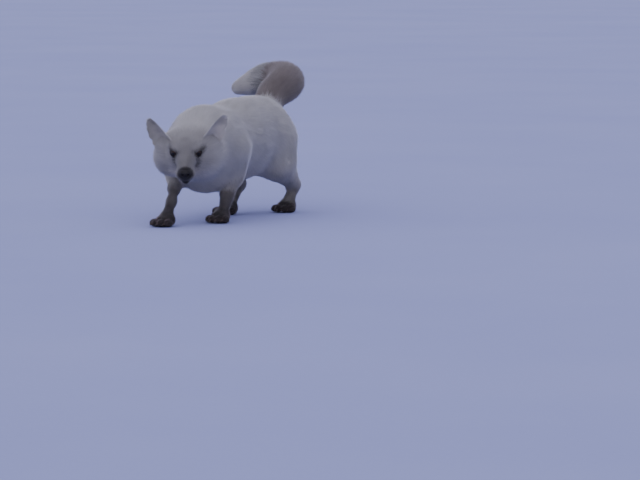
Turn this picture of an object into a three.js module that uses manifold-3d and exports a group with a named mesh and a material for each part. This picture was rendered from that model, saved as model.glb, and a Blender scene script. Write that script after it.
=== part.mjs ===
// Arctic fox in its winter coat, life size: a still, standing model that creeps forward with a low head.
// Every solid reaches to the tips of the coat. One smooth body is shaped by blended fields, meshed
// piece by piece, and parted by thin cuts. X is the fox's left, Y its rear, Z up, in millimetres.

import * as THREE from "three";
import { mergeVertices } from "three/addons/utils/BufferGeometryUtils.js";
import Module from "manifold-3d";

// ---- Driving dimensions ------------------------------------------------------------------------

const GAP = 0.3; // clearance between neighbouring solids
const FAR = 900; // size of the blocks that cut the body
const SLIVER = 0.05; // finest detail that a cut may leave

const TRUNK = {
  chest: { at: [0, -84, 154], radii: [80, 82, 79] },
  barrel: { at: [0, 26, 162], radii: [82, 116, 88] },
  rump: { at: [0, 114, 170], radii: [80, 78, 80] },
  brisket: { at: [-8, -94, 112], radii: [60, 66, 55] },
};
const NECK = { from: [2, -118, 166], to: [16, -178, 150], radii: [72, 62] };

// The head turns to the fox's left and tips down about the point midway between the eyes.
const HEAD = { at: [31, -242, 152], yaw: 27, pitch: 25 };
const EYE = { at: [22.3, 1, 0], radius: 8.4, opening: [7.8, 7, 5.6], outward: 24 };
const NOSE = { at: [0, -49, -22], radii: [11, 9, 9] };
const EAR = {
  base: [41, 42, 6],
  tips: { left: [79, 42, 62], right: [-76, 42, 54] },
  lean: [-0.42, 1, 0],
  halfWidth: 22,
  thickness: 8,
  curl: 28,
  rings: 7,
  sides: 10,
};

// Root, bends and tip of the tail's core, and the reach of its fur along it.
const TAIL = {
  path: [[-4, 160, 194], [-13, 208, 242], [0, 249, 268], [-24, 278, 273], [-66, 278, 272], [-114, 250, 256]],
  fur: [28, 34, 41, 43, 38, 17],
};

// Joints of each leg from the trunk down, the coat's radius at each, and where the paw stands.
const LEGS = {
  foreleg_left: {
    joints: [[54, -86, 144], [50, -74, 96], [42, -92, 48], [39, -102, 22]],
    radii: [38, 21, 12, 12.5],
    paw: { at: [37, -112], heading: 4, scale: 1 },
  },
  foreleg_right: {
    joints: [[-58, -116, 144], [-49, -138, 98], [-38, -168, 72], [-29, -195, 48], [-24, -221, 24]],
    radii: [42, 24, 12, 10.5, 12.5],
    paw: { at: [-22, -235], heading: -6, scale: 1 },
  },
  hindleg_left: {
    joints: [[46, 118, 156], [50, 112, 112], [46, 200, 56], [42, 184, 24]],
    radii: [48, 42, 13.5, 13],
    paw: { at: [41, 172], heading: 4, scale: 0.95 },
  },
  hindleg_right: {
    joints: [[-46, 104, 156], [-50, 72, 114], [-46, 128, 60], [-42, 80, 24]],
    radii: [48, 42, 13.5, 13],
    paw: { at: [-41, 64], heading: -4, scale: 0.95 },
  },
};
const WRIST_HEIGHT = 33; // where each paw is parted from its leg
const PALM = { at: [0, 4, 12], radii: [19, 23, 16] };
const TOES = [[-18, -12, 8], [-6.5, -21, 8.5], [6.5, -21, 8.5], [18, -12, 8]];
const TOE_RADII = [8.4, 14, 9.4];
const CLAW = { length: 15, radius: 2.3, drop: 4.5, sides: 5, rings: 3 };

// Cell sizes of the meshes: small where the shape is small.
const CELL = { trunk: 22.7, neck: 19.6, head: 11.7, tail: 18.5, foreleg: 13.4, hindleg: 13.4, paw: 9.9 };

const COLOURS = {
  white: [0xe6e4e2, 0.9],
  grey_brown: [0x6b6058, 0.9],
  dark_brown: [0x2e201b, 0.88],
  tail: [0x7d746c, 0.92],
  ear: [0xb9b6b6, 0.9],
  eye: [0x14100d, 0.12],
  nose: [0x161214, 0.45],
  claw: [0x2a2422, 0.4],
};

// ---- Fields: negative inside, in millimetres from the surface ----------------------------------

const vec = (p) => new THREE.Vector3(...p);
const radians = THREE.MathUtils.degToRad;

const ellipsoid = ({ at, radii }) => (p) => {
  const d = p.map((v, i) => v - at[i]);
  const near = Math.hypot(...d.map((v, i) => v / radii[i]));
  const slope = Math.hypot(...d.map((v, i) => v / radii[i] ** 2));
  return slope < 1e-9 ? -Math.min(...radii) : (near * (near - 1)) / slope;
};

// A capsule whose radius changes evenly from one end to the other.
const limb = (a, b, ra, rb) => {
  const along = b.map((v, i) => v - a[i]);
  const length2 = along.reduce((sum, v) => sum + v * v, 0);
  return (p) => {
    const reach = along.reduce((sum, v, i) => sum + v * (p[i] - a[i]), 0) / length2;
    const t = Math.min(1, Math.max(0, reach));
    return Math.hypot(...along.map((v, i) => p[i] - a[i] - v * t)) - ra - (rb - ra) * t;
  };
};

const chain = (points, radii) =>
  points.slice(1).map((point, i) => limb(points[i], point, radii[i], radii[i + 1]));

// Smooth union: surfaces closer than `reach` flow into each other.
const blend = (reach, ...fields) => (p) =>
  fields.reduce((nearest, field) => {
    const d = field(p);
    const share = Math.max(0, reach - Math.abs(nearest - d)) / reach;
    return Math.min(nearest, d) - (share * share * reach) / 4;
  }, Infinity);

// A field that is described in the frame of `matrix`.
const placed = (matrix, field) => {
  const back = matrix.clone().invert();
  return (p) => field(vec(p).applyMatrix4(back).toArray());
};

const mirrored = ([x, y, z]) => [-x, y, z];
const bothSides = (shape) => [ellipsoid(shape), ellipsoid({ ...shape, at: mirrored(shape.at) })];

// ---- The body's fields -------------------------------------------------------------------------

const headFrame = new THREE.Matrix4()
  .makeTranslation(...HEAD.at)
  .multiply(new THREE.Matrix4().makeRotationZ(radians(HEAD.yaw)))
  .multiply(new THREE.Matrix4().makeRotationX(radians(HEAD.pitch)));

const headShape = blend(
  14,
  ellipsoid({ at: [0, 38, -3], radii: [44, 48, 28] }), // cranium
  ellipsoid({ at: [0, 13, 5], radii: [33, 22, 18] }), // forehead
  ...bothSides({ at: [38, 44, -33], radii: [34, 34, 46] }), // cheek ruffs
  ellipsoid({ at: [0, 44, -40], radii: [42, 44, 32] }), // throat
  ...bothSides({ at: [19, 18, -20], radii: [17, 24, 20] }), // cheekbones
  limb([0, -2, -16], [0, -42, -26], 21, 11), // muzzle
  limb([0, 2, -7], [0, -45, -18.5], 15, 7), // bridge of the nose
  ...bothSides({ at: [9, -36, -30], radii: [11, 13, 9.5] }), // whisker pads
  limb([0, 0, -36], [0, -35, -45], 13, 8.5), // lower jaw
);

const earTip = (side) => vec(side > 0 ? EAR.tips.left : EAR.tips.right);
const earLength = (side) => earTip(side).distanceTo(vec([EAR.base[0] * side, EAR.base[1], EAR.base[2]]));

// Frame of an ear: X across it, Y through it to the back, Z from its base to its tip.
const earFrame = (side) => {
  const flip = (p) => vec([p[0] * side, p[1], p[2]]);
  const base = flip(EAR.base);
  const up = earTip(side).sub(base).normalize();
  const across = new THREE.Vector3().crossVectors(flip(EAR.lean), up).normalize();
  const back = new THREE.Vector3().crossVectors(up, across);
  return headFrame.clone().multiply(new THREE.Matrix4().makeBasis(across, back, up).setPosition(base));
};

const tailCurve = new THREE.CatmullRomCurve3(TAIL.path.map(vec));
const TAIL_STEPS = 18;
const furAlong = (t) => {
  const last = TAIL.fur.length - 1;
  const i = Math.min(last - 1, Math.floor(t * last));
  return THREE.MathUtils.lerp(TAIL.fur[i], TAIL.fur[i + 1], t * last - i);
};
const tailSteps = Array.from({ length: TAIL_STEPS + 1 }, (_, i) => i / TAIL_STEPS);
const tailField = blend(
  4,
  ...chain(tailSteps.map((t) => tailCurve.getPoint(t).toArray()), tailSteps.map(furAlong)),
);

const pawFrame = ({ at, heading, scale }) =>
  new THREE.Matrix4()
    .makeTranslation(at[0], at[1], 0)
    .multiply(new THREE.Matrix4().makeRotationZ(radians(heading)))
    .multiply(new THREE.Matrix4().makeScale(scale, scale, 1));
const pawShape = blend(
  8,
  ellipsoid(PALM),
  ...TOES.map((at) => ellipsoid({ at, radii: TOE_RADII })),
);
const legFields = Object.values(LEGS).map(({ joints, radii, paw }) =>
  blend(14, ...chain(joints, radii), placed(pawFrame(paw), pawShape)),
);

const trunkField = blend(
  34,
  ...Object.values(TRUNK).map(ellipsoid),
  limb(NECK.from, NECK.to, ...NECK.radii),
);
const body = blend(20, trunkField, ...legFields, placed(headFrame, headShape), tailField);

// ---- Meshing and cutting -----------------------------------------------------------------------

const wasm = await Module();
wasm.setup();

function solidOf(geometry, matrix = new THREE.Matrix4()) {
  const bare = geometry.clone().applyMatrix4(matrix);
  bare.deleteAttribute("normal");
  bare.deleteAttribute("uv");
  const merged = mergeVertices(bare, 1e-3);
  return new wasm.Manifold(
    new wasm.Mesh({
      numProp: 3,
      vertProperties: merged.attributes.position.array,
      triVerts: new Uint32Array(merged.index.array),
    }),
  );
}

function geometryOf(solid) {
  const mesh = solid.getMesh();
  return new THREE.BufferGeometry()
    .setAttribute("position", new THREE.BufferAttribute(new Float32Array(mesh.vertProperties), 3))
    .setIndex(new THREE.BufferAttribute(new Uint32Array(mesh.triVerts), 1));
}

const CORNERS = [0, 1, 2, 3, 4, 5, 6, 7].map((c) => [c & 1, (c >> 1) & 1, c >> 2]);
const steps = (a, b) => a.reduce((sum, v, n) => sum + Math.abs(v - b[n]), 0);
const CELL_EDGES = CORNERS.flatMap((a, i) =>
  CORNERS.flatMap((b, j) => (j > i && steps(a, b) === 1 ? [[i, j]] : [])),
);

// The surface of a field inside a block, as a closed net with one vertex in each cell it crosses.
function net(field, low, high, cell, shift) {
  const size = low.map((v, i) => Math.ceil((high[i] - v) / cell) + 4);
  const start = low.map((v) => v - cell * shift);
  const place = (i, j, k) => [start[0] + i * cell, start[1] + j * cell, start[2] + k * cell];
  const wall = (p) => Math.max(...p.map((v, i) => Math.max(low[i] - v, v - high[i])));
  const inBlock = (p) => Math.max(field(p), wall(p));
  const index = (i, j, k) => i + size[0] * (j + size[1] * k);
  const values = new Float64Array(size[0] * size[1] * size[2]);
  for (let k = 0; k < size[2]; k++)
    for (let j = 0; j < size[1]; j++)
      for (let i = 0; i < size[0]; i++) values[index(i, j, k)] = inBlock(place(i, j, k));

  const vertices = [];
  const vertexOf = new Int32Array(values.length).fill(-1);
  for (let k = 0; k < size[2] - 1; k++)
    for (let j = 0; j < size[1] - 1; j++)
      for (let i = 0; i < size[0] - 1; i++) {
        const corner = CORNERS.map(([a, b, c]) => values[index(i + a, j + b, k + c)]);
        const crossings = CELL_EDGES.filter(([a, b]) => corner[a] < 0 !== corner[b] < 0);
        if (!crossings.length) continue;
        const middle = [0, 0, 0];
        for (const [a, b] of crossings) {
          const t = corner[a] / (corner[a] - corner[b]);
          middle.forEach((_, n) => {
            middle[n] += (CORNERS[a][n] + t * (CORNERS[b][n] - CORNERS[a][n])) / crossings.length;
          });
        }
        vertexOf[index(i, j, k)] = vertices.length / 3;
        vertices.push(...settle(inBlock, place(i + middle[0], j + middle[1], k + middle[2]), cell));
      }

  const faces = [];
  const axes = [[1, 0, 0], [0, 1, 0], [0, 0, 1]];
  for (let k = 1; k < size[2] - 1; k++)
    for (let j = 1; j < size[1] - 1; j++)
      for (let i = 1; i < size[0] - 1; i++)
        axes.forEach((step, n) => {
          const here = values[index(i, j, k)] < 0;
          const there = values[index(i + step[0], j + step[1], k + step[2])] < 0;
          if (here === there) return;
          const u = axes[(n + 1) % 3];
          const w = axes[(n + 2) % 3];
          const back = (from, a, b, m) => from - a * u[m] - b * w[m];
          const at = (a, b) => vertexOf[index(back(i, a, b, 0), back(j, a, b, 1), back(k, a, b, 2))];
          const quad = [at(0, 0), at(1, 0), at(1, 1), at(0, 1)];
          if (!here) quad.reverse();
          faces.push(quad[0], quad[1], quad[2], quad[0], quad[2], quad[3]);
        });
  return new THREE.BufferGeometry()
    .setAttribute("position", new THREE.Float32BufferAttribute(vertices, 3))
    .setIndex(faces);
}

// Moves a point onto the surface along the field's slope, by no more than a third of a cell.
function settle(field, point, cell) {
  const h = cell / 20;
  const here = field(point);
  const slope = point.map((_, n) => field(point.map((v, m) => (m === n ? v + h : v))) - here);
  const steep = Math.hypot(...slope) / h;
  const move = Math.max(-cell / 3, Math.min(cell / 3, here / Math.max(steep, 0.3)));
  return point.map((v, n) => v - (move * slope[n]) / h / Math.max(steep, 1e-6));
}

// A block that fills all on the side of a plane that `normal` points to, `clear` away from the plane.
function sideOf(point, normal, clear = GAP / 2) {
  const away = vec(normal).normalize();
  const turn = new THREE.Quaternion().setFromUnitVectors(new THREE.Vector3(0, 0, 1), away);
  const centre = vec(point).addScaledVector(away, FAR / 2 + clear);
  const matrix = new THREE.Matrix4().compose(centre, turn, new THREE.Vector3(1, 1, 1));
  return solidOf(new THREE.BoxGeometry(FAR, FAR, FAR), matrix);
}

function blockOf(low, high, clear = 0) {
  const size = low.map((v, i) => high[i] - v - clear * 2);
  const middle = low.map((v, i) => (v + high[i]) / 2);
  return solidOf(new THREE.BoxGeometry(...size), new THREE.Matrix4().makeTranslation(...middle));
}

const opposite = (normal) => normal.map((v) => -v);

// ---- Planes and blocks that part the body ------------------------------------------------------

const directionIn = (matrix, p) => vec(p).transformDirection(matrix).toArray();
const pointIn = (matrix, p) => vec(p).applyMatrix4(matrix).toArray();

const NAPE = { point: pointIn(headFrame, [0, 62, -6]), normal: directionIn(headFrame, [-0.12, 1, 0.05]) };
const COLLAR = { point: [0, -120, 170], normal: [-0.12, 1, -0.15] };
const TAIL_ROOT = { point: [4, 200, 218], normal: [0.2, 0.8, 0.52] };
const tailCut = (t) => ({
  point: tailCurve.getPoint(t).toArray(),
  normal: tailCurve.getTangent(t).toArray(),
});
const TAIL_CUTS = [tailCut(0.45), tailCut(0.76)];

// The block below a slope that rises outward from the belly: what it holds is a leg.
const LEG_TOPS = {
  foreleg_left: { y: [-172, -28], inner: 14, rise: 0.8, height: 78 },
  foreleg_right: { y: [-262, -46], inner: 14, rise: 0.8, height: 78 },
  hindleg_left: { y: [58, 262], inner: 12, rise: 1.15, height: 80 },
  hindleg_right: { y: [22, 262], inner: 12, rise: 1.15, height: 80 },
};
function legBlock(name, clear) {
  const { y, inner, rise, height } = LEG_TOPS[name];
  const side = name.endsWith("left") ? 1 : -1;
  const x = side > 0 ? [inner, 150] : [-150, -inner];
  const column = blockOf([x[0], y[0], -20], [x[1], y[1], 240], clear);
  return column.intersect(sideOf([side * inner, 0, height], [side * rise, 0, -1], clear));
}

// ---- Pieces ------------------------------------------------------------------------------------

const fox = new THREE.Group();

// The largest of a solid's separate bodies, without the crumbs and slivers that a cut leaves.
function tidied(solid) {
  const parts = solid.simplify(SLIVER).decompose();
  return parts.reduce((best, one) => (one.volume() > best.volume() ? one : best));
}

function add(name, solid, [colour, roughness]) {
  const mesh = new THREE.Mesh(
    geometryOf(tidied(solid)),
    new THREE.MeshStandardMaterial({ color: colour, roughness, metalness: 0 }),
  );
  mesh.name = name;
  fox.add(mesh);
}

// True if no two faces run along an edge the same way, as they do where a net touches itself.
function isSimple(faces) {
  const runs = new Set();
  faces.forEach((from, i) => runs.add(from * faces.length + faces[i % 3 === 2 ? i - 2 : i + 1]));
  return runs.size === faces.length;
}

// The body inside a block, from the first grid whose net doesn't touch itself.
function meshed(low, high, cell) {
  for (let shift = 1.1; shift < 2; shift += 0.09) {
    const surface = net(body, low, high, cell, shift);
    if (isSimple(surface.index.array)) return solidOf(surface);
  }
  throw new Error("no grid suits the block from " + low);
}

const ahead = (cut, solid) => solid.intersect(sideOf(cut.point, opposite(cut.normal)));
const behind = (cut, solid) => solid.intersect(sideOf(cut.point, cut.normal));
const withoutLegs = (solid) =>
  Object.keys(LEGS).reduce((rest, name) => rest.subtract(legBlock(name, 0)), solid);

function addTrunk() {
  const whole = meshed([-130, -190, 40], [130, 252, 290], CELL.trunk);
  const trunk = withoutLegs(ahead(TAIL_ROOT, behind(COLLAR, whole)));
  add("trunk", trunk, COLOURS.white);
}

function addNeck() {
  const whole = meshed([-130, -250, 62], [130, -60, 290], CELL.neck);
  add("neck", withoutLegs(behind(NAPE, ahead(COLLAR, whole))), COLOURS.white);
}

// A closed surface through rings that hold the same number of points, flat at both ends.
function loft(rings, matrix) {
  const sides = rings[0].length;
  const faces = [];
  for (let i = 0; i < rings.length - 1; i++)
    for (let j = 0; j < sides; j++) {
      const a = i * sides + j;
      const b = i * sides + ((j + 1) % sides);
      faces.push(a, b, a + sides, b, b + sides, a + sides);
    }
  for (let j = 1; j < sides - 1; j++) {
    const end = (rings.length - 1) * sides;
    faces.push(0, j + 1, j, end, end + j, end + j + 1);
  }
  const shape = new THREE.BufferGeometry()
    .setAttribute("position", new THREE.Float32BufferAttribute(rings.flat(2), 3))
    .setIndex(faces);
  return solidOf(shape, matrix);
}

const evenly = (count) => Array.from({ length: count }, (_, i) => i / (count - 1));
const angles = (count) => Array.from({ length: count }, (_, j) => (j / count) * 2 * Math.PI);

// A rounded leaf whose edges curl forward.
function ear(side, clear) {
  const rings = evenly(EAR.rings).map((t) => {
    const half = EAR.halfWidth * Math.sqrt(1 - 0.94 * t ** 1.7) + clear;
    const thick = EAR.thickness * (1 - 0.4 * t) * 0.5 + clear;
    const z = -clear + t * (earLength(side) + clear * 2);
    return angles(EAR.sides).map((a) => {
      const x = half * Math.cos(a);
      return [x, thick * Math.sin(a) - (x * x) / EAR.curl, z];
    });
  });
  return loft(rings, earFrame(side));
}

const eyeFrame = (side) =>
  headFrame
    .clone()
    .multiply(new THREE.Matrix4().makeTranslation(EYE.at[0] * side, EYE.at[1], EYE.at[2]))
    .multiply(new THREE.Matrix4().makeRotationZ(radians(EYE.outward * side)));

function eyeball(side, clear) {
  return solidOf(new THREE.SphereGeometry(EYE.radius + clear, 12, 7), eyeFrame(side));
}

function eyeOpening(side) {
  const ball = new THREE.SphereGeometry(1, 12, 7).scale(...EYE.opening);
  return solidOf(ball.translate(0, -EYE.radius, 0), eyeFrame(side));
}

// Nose leather: a ball that is wider above than below.
function nose(clear) {
  const ball = new THREE.SphereGeometry(1, 12, 7);
  const position = ball.attributes.position;
  for (let i = 0; i < position.count; i++)
    position.setX(i, position.getX(i) * (1 + 0.22 * position.getZ(i)));
  ball.scale(...NOSE.radii.map((r) => r + clear)).translate(...NOSE.at);
  return solidOf(ball, headFrame);
}

function addHead() {
  const reach = 240;
  const low = HEAD.at.map((v) => v - reach / 2);
  const high = HEAD.at.map((v) => v + reach / 2);
  const whole = meshed([low[0], low[1], 66], high, CELL.head);
  let head = withoutLegs(ahead(NAPE, ahead(COLLAR, whole))).subtract(nose(GAP));
  for (const side of [1, -1]) {
    head = head.subtract(ear(side, GAP)).subtract(eyeball(side, GAP)).subtract(eyeOpening(side));
  }
  add("head", head, COLOURS.white);
  add("nose", nose(0), COLOURS.nose);
}

function addEyesAndEars() {
  for (const [side, name] of [[1, "left"], [-1, "right"]]) {
    add(`ear_${name}`, ear(side, 0), COLOURS.ear);
    add(`eye_${name}`, eyeball(side, 0), COLOURS.eye);
  }
}

function addTail() {
  const whole = meshed([-200, 130, 120], [90, 350, 330], CELL.tail);
  const [first, second] = TAIL_CUTS;
  const tail = behind(TAIL_ROOT, whole);
  add("tail_base", ahead(first, tail), COLOURS.tail);
  add("tail_middle", ahead(second, behind(first, tail)), COLOURS.tail);
  add("tail_tip", behind(second, behind(first, tail)), COLOURS.tail);
}

// A claw shrinks along a curve that drops forward from its toe.
function claw(paw, toe, clear) {
  const { length, radius, drop, sides, rings } = CLAW;
  const curve = evenly(rings).map((t) => {
    const r = (radius + clear) * Math.sqrt(1 - t * 0.97);
    const y = -t * (length + clear);
    return angles(sides).map((a) => [r * 0.8 * Math.cos(a), y, r * Math.sin(a) - drop * t * t]);
  });
  const onToe = new THREE.Matrix4()
    .makeTranslation(toe[0], toe[1] - 7, toe[2] + 0.5)
    .multiply(new THREE.Matrix4().makeRotationZ(radians(-toe[0] * 0.8)));
  return loft(curve, pawFrame(paw).multiply(onToe));
}

function addLegs() {
  for (const [name, { joints, paw }] of Object.entries(LEGS)) {
    const [limbName, side] = name.split("leg_");
    const hind = limbName === "hind";
    const xs = joints.map((joint) => joint[0]);
    const ys = joints.map((joint) => joint[1]);
    const low = [Math.min(...xs) - 70, Math.min(...ys) - 75, -12];
    const high = [Math.max(...xs) + 70, Math.max(...ys) + 75, 200];
    const cut = { point: [0, 0, WRIST_HEIGHT], up: [0, 0, 1], down: [0, 0, -1] };
    const block = legBlock(name, GAP).intersect(sideOf(cut.point, cut.up));
    const leg = meshed(low, high, hind ? CELL.hindleg : CELL.foreleg).intersect(block);
    if (hind) {
      const knee = {
        point: joints[1].map((v, i) => v * 0.62 + joints[2][i] * 0.38),
        normal: joints[2].map((v, i) => v - joints[1][i]),
      };
      add(`thigh_${side}`, ahead(knee, leg), COLOURS.white);
      add(`hindleg_${side}`, behind(knee, leg), COLOURS.grey_brown);
    } else add(`foreleg_${side}`, leg, COLOURS.grey_brown);

    const foot = { low: [paw.at[0] - 50, paw.at[1] - 60, -14], high: [paw.at[0] + 50, paw.at[1] + 60, 60] };
    let sole = meshed(foot.low, foot.high, CELL.paw)
      .intersect(sideOf(cut.point, cut.down))
      .intersect(sideOf([0, 0, 0], cut.up, 0));
    TOES.forEach((toe, i) => {
      sole = sole.subtract(claw(paw, toe, GAP));
      add(`claw_${limbName}_${side}_${i + 1}`, claw(paw, toe, 0), COLOURS.claw);
    });
    add(`${limbName}paw_${side}`, sole, COLOURS.dark_brown);
  }
}

addTrunk();
addNeck();
addHead();
addEyesAndEars();
addTail();
addLegs();

// The part's origin is on the floor, under the middle of its outline.
const outline = new THREE.Box3().setFromObject(fox);
const centre = outline.getCenter(new THREE.Vector3());
fox.position.set(-centre.x, -centre.y, 0);

export default fox;
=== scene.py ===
"""The looks of an arctic fox in its winter coat: one skin, the fur on it, eyes, nose, claws and whiskers.

Shapes are in millimetres, in the frame that the solids were drafted in (X the fox's left, Y its rear,
Z up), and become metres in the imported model's frame where a mesh is made.
"""

import math

import bmesh
import bpy
import numpy as np
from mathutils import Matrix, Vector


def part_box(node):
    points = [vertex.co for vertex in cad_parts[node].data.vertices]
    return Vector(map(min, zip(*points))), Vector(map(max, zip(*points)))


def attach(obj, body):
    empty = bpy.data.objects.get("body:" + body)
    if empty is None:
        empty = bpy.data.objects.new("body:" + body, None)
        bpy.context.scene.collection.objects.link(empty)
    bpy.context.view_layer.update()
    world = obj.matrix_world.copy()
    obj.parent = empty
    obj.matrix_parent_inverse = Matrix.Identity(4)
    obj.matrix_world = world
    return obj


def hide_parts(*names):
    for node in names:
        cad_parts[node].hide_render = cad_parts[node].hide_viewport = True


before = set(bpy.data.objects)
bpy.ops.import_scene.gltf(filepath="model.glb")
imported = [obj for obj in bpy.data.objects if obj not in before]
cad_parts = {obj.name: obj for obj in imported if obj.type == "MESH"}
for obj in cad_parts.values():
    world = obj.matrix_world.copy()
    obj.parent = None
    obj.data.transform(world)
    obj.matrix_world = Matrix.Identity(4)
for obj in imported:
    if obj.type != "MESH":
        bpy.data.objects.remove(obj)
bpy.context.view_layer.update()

import openvdb
from mathutils import Matrix, Vector

RANDOM = np.random.default_rng(11)
MM = 0.001
FAR = 60.0  # distance given to what is far from a shape
REACH = 42  # how far from a shape its distance is worked out
MARGIN = 6  # room around the shapes in which the skin is looked for

# ---- Driving dimensions ----

HEAD_AT = (31, -242, 152)  # midway between the eyes
HEAD_YAW = 27
HEAD_PITCH = 25
EYE_AT = (22.3, 1, 0)
EYE_RADIUS = 8.4
EYE_OUTWARD = 24
LID_THICKNESS = 1.5
LID_RIM = 1.3  # width of the bare rim around an eye's opening
EYE_OPENING = (7.8, 5.2)  # half its width and half its height
EYE_SLANT = 0.2
NOSE_AT = (0, -49, -22)
NOSE_RADII = (11, 9, 9)
EAR_BASE = (41, 42, 6)
EAR_TIPS = {1: (79, 42, 62), -1: (-76, 42, 54)}  # of the left and the right ear
EAR_LEAN = (-0.42, 1, 0)
EAR_HALF_WIDTH = 22
EAR_THICKNESS = 8
EAR_CURL = 28

TAIL_PATH = [
    (-4, 160, 194),
    (-13, 208, 242),
    (0, 249, 268),
    (-24, 278, 273),
    (-66, 278, 272),
    (-114, 250, 256),
]
TAIL_FUR = (28, 34, 41, 43, 38, 17)
TAIL_STEPS = 18
TAIL_CORE = 0.6  # share of the tail's radius that is flesh

# Joints from the trunk down, the coat's outer radius and its depth at each, and where the paw stands.
LEGS = {
    "foreleg_left": {
        "joints": [(54, -86, 144), (50, -74, 96), (42, -92, 48), (39, -102, 22)],
        "radii": (38, 21, 12, 12.5),
        "coat": (15, 9, 4, 3.5),
        "paw": {"at": (37, -112), "heading": 4, "scale": 1},
    },
    "foreleg_right": {
        "joints": [(-58, -116, 144), (-49, -138, 98), (-38, -168, 72), (-29, -195, 48), (-24, -221, 24)],
        "radii": (42, 24, 12, 10.5, 12.5),
        "coat": (15, 11, 5, 4, 3.5),
        "paw": {"at": (-22, -235), "heading": -6, "scale": 1},
    },
    "hindleg_left": {
        "joints": [(46, 118, 156), (50, 112, 112), (46, 200, 56), (42, 184, 24)],
        "radii": (48, 42, 13.5, 13),
        "coat": (15, 13, 4.5, 3.5),
        "paw": {"at": (41, 172), "heading": 4, "scale": 0.95},
    },
    "hindleg_right": {
        "joints": [(-46, 104, 156), (-50, 72, 114), (-46, 128, 60), (-42, 80, 24)],
        "radii": (48, 42, 13.5, 13),
        "coat": (15, 13, 4.5, 3.5),
        "paw": {"at": (-41, 64), "heading": -4, "scale": 0.95},
    },
}
PALM = {"at": (0, 4, 12), "radii": (19, 23, 16)}
TOES = [(-18, -12, 8), (-6.5, -21, 8.5), (6.5, -21, 8.5), (18, -12, 8)]
TOE_RADII = (8.4, 14, 9.4)
CLAW_LENGTH = 15
CLAW_RADIUS = 2.3
CLAW_DROP = 4.5
WHISKER_DROOP = 0.16  # share of its length

SKIN_CELL = 2.6  # size of the skin's faces, halved on the face

# How near two surfaces come before they flow into each other. The flesh is less melted than the coat.
TRUNK_MELT = 34
JOIN_MELT = 20
LIMB_MELT = 14
TOE_MELT = {"coat": 8, "flesh": 5}
PAW_MELT = {"coat": 14, "flesh": 10}
JAW_MELT = {"coat": 14, "flesh": 1.5}
TAIL_MELT = 4
EAR_ROOT_MELT = 5
EAR_MELT = 2

# The photographed view: the camera's bearing, its height above the horizon and its distance in metres,
# the width of the view there, and the left forepaw's place right of and above the view's middle.
BEARING = 27
HEIGHT_ANGLE = 5.5
DISTANCE = 7.0
VIEW_WIDTH = 1.306
PAW_IN_VIEW = (-0.205, 0.035)

SKY = 1.0  # strengths of the lights
OVERHEAD = 0.35
FRONT = 1.15
SIDE = 0.5
DENSITY = 1.2  # share of the full number of tufts


def srgb(*channels):
    """Linear colour of 0 to 255 screen values."""
    return np.array([(c / 255 / 12.92) if c < 11 else ((c / 255 + 0.055) / 1.055) ** 2.4 for c in channels])


WHITE = srgb(240, 236, 230)
BELLY = srgb(242, 230, 210)
FACE = srgb(176, 171, 168)
EAR_BACK = srgb(228, 223, 222)
EAR_INSIDE = srgb(240, 234, 231)
EAR_SHADES = {1: 1.06, -1: 0.68}  # of the left and the right ear; the right ear is made darker
LEG = srgb(92, 83, 82)
PAW = srgb(40, 32, 32)
TAIL_DARK = srgb(130, 117, 113)
TAIL_OLIVE = srgb(160, 158, 156)
TAIL_PALE = srgb(250, 245, 238)
BLACK = srgb(24, 19, 19)

# ---- Small helpers ----


def unit(vectors):
    """Vectors of length one, along the last axis."""
    vectors = np.asarray(vectors, float)
    return vectors / np.maximum(np.linalg.norm(vectors, axis=-1, keepdims=True), 1e-9)


def ease(value, start, end):
    """0 before start, 1 after end, and smooth between them; start may be the larger."""
    t = np.clip((value - start) / (end - start), 0, 1)
    return t * t * (3 - 2 * t)


def mix(a, b, share):
    """Colours or vectors, from a to b, by one share for each row."""
    share = np.asarray(share)[:, None]
    return a * (1 - share) + b * share


def wander(points, size, seed):
    """Smooth variation from about -1 to 1 that changes over `size` millimetres."""
    waves = np.random.default_rng(seed)
    total = np.zeros(len(points))
    for _ in range(5):
        direction = unit(waves.normal(size=3)) * 2 * math.pi / (size * waves.uniform(0.6, 1.7))
        total += np.sin(points @ direction + waves.uniform(0, 2 * math.pi))
    return total / 3


def along_line(points, start, end):
    """How far points are along a straight line, from 0 to 1, and their distance from it."""
    start = np.asarray(start, float)
    along = np.asarray(end, float) - start
    t = np.clip((points - start) @ along / (along @ along), 0, 1)
    return t, np.linalg.norm(points - start - t[:, None] * along, axis=1)


def mirrored(at, side):
    """A place of the left side, or its mirror image on the right where side is -1."""
    return np.array(at, float) * (side, 1, 1)


class Place:
    """A frame of axes, given as the columns of a matrix, at an origin."""

    def __init__(self, at, axes):
        self.at = np.asarray(at, float)
        self.axes = np.asarray(axes, float)

    def inside(self, points):
        """World points in this frame."""
        return (np.asarray(points, float) - self.at) @ self.axes

    def outside(self, points):
        """Points of this frame in the world."""
        return np.asarray(points, float) @ self.axes.T + self.at

    def within(self, other):
        """This frame, whose values are given in the other one, in the world."""
        return Place(other.outside(self.at), other.axes @ self.axes)


def turned(yaw=0, pitch=0):
    """Axes turned by yaw about Z after pitch about X, in degrees."""
    return np.array(Matrix.Rotation(math.radians(yaw), 3, "Z") @ Matrix.Rotation(math.radians(pitch), 3, "X"))


HEAD = Place(HEAD_AT, turned(HEAD_YAW, HEAD_PITCH))
NOSE_TIP = HEAD.outside((0, -62, -22))


def box_middle(node):
    """Middle of a solid's box, in millimetres."""
    low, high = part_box(node)
    return (np.array(low) + np.array(high)) / 2 / MM


SHIFT = (box_middle("eye_left") + box_middle("eye_right")) / 2 - HEAD.outside((0, EYE_AT[1], 0))


def metres(points):
    """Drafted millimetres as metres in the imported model's frame."""
    return (np.asarray(points, float) + SHIFT) * MM


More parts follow.
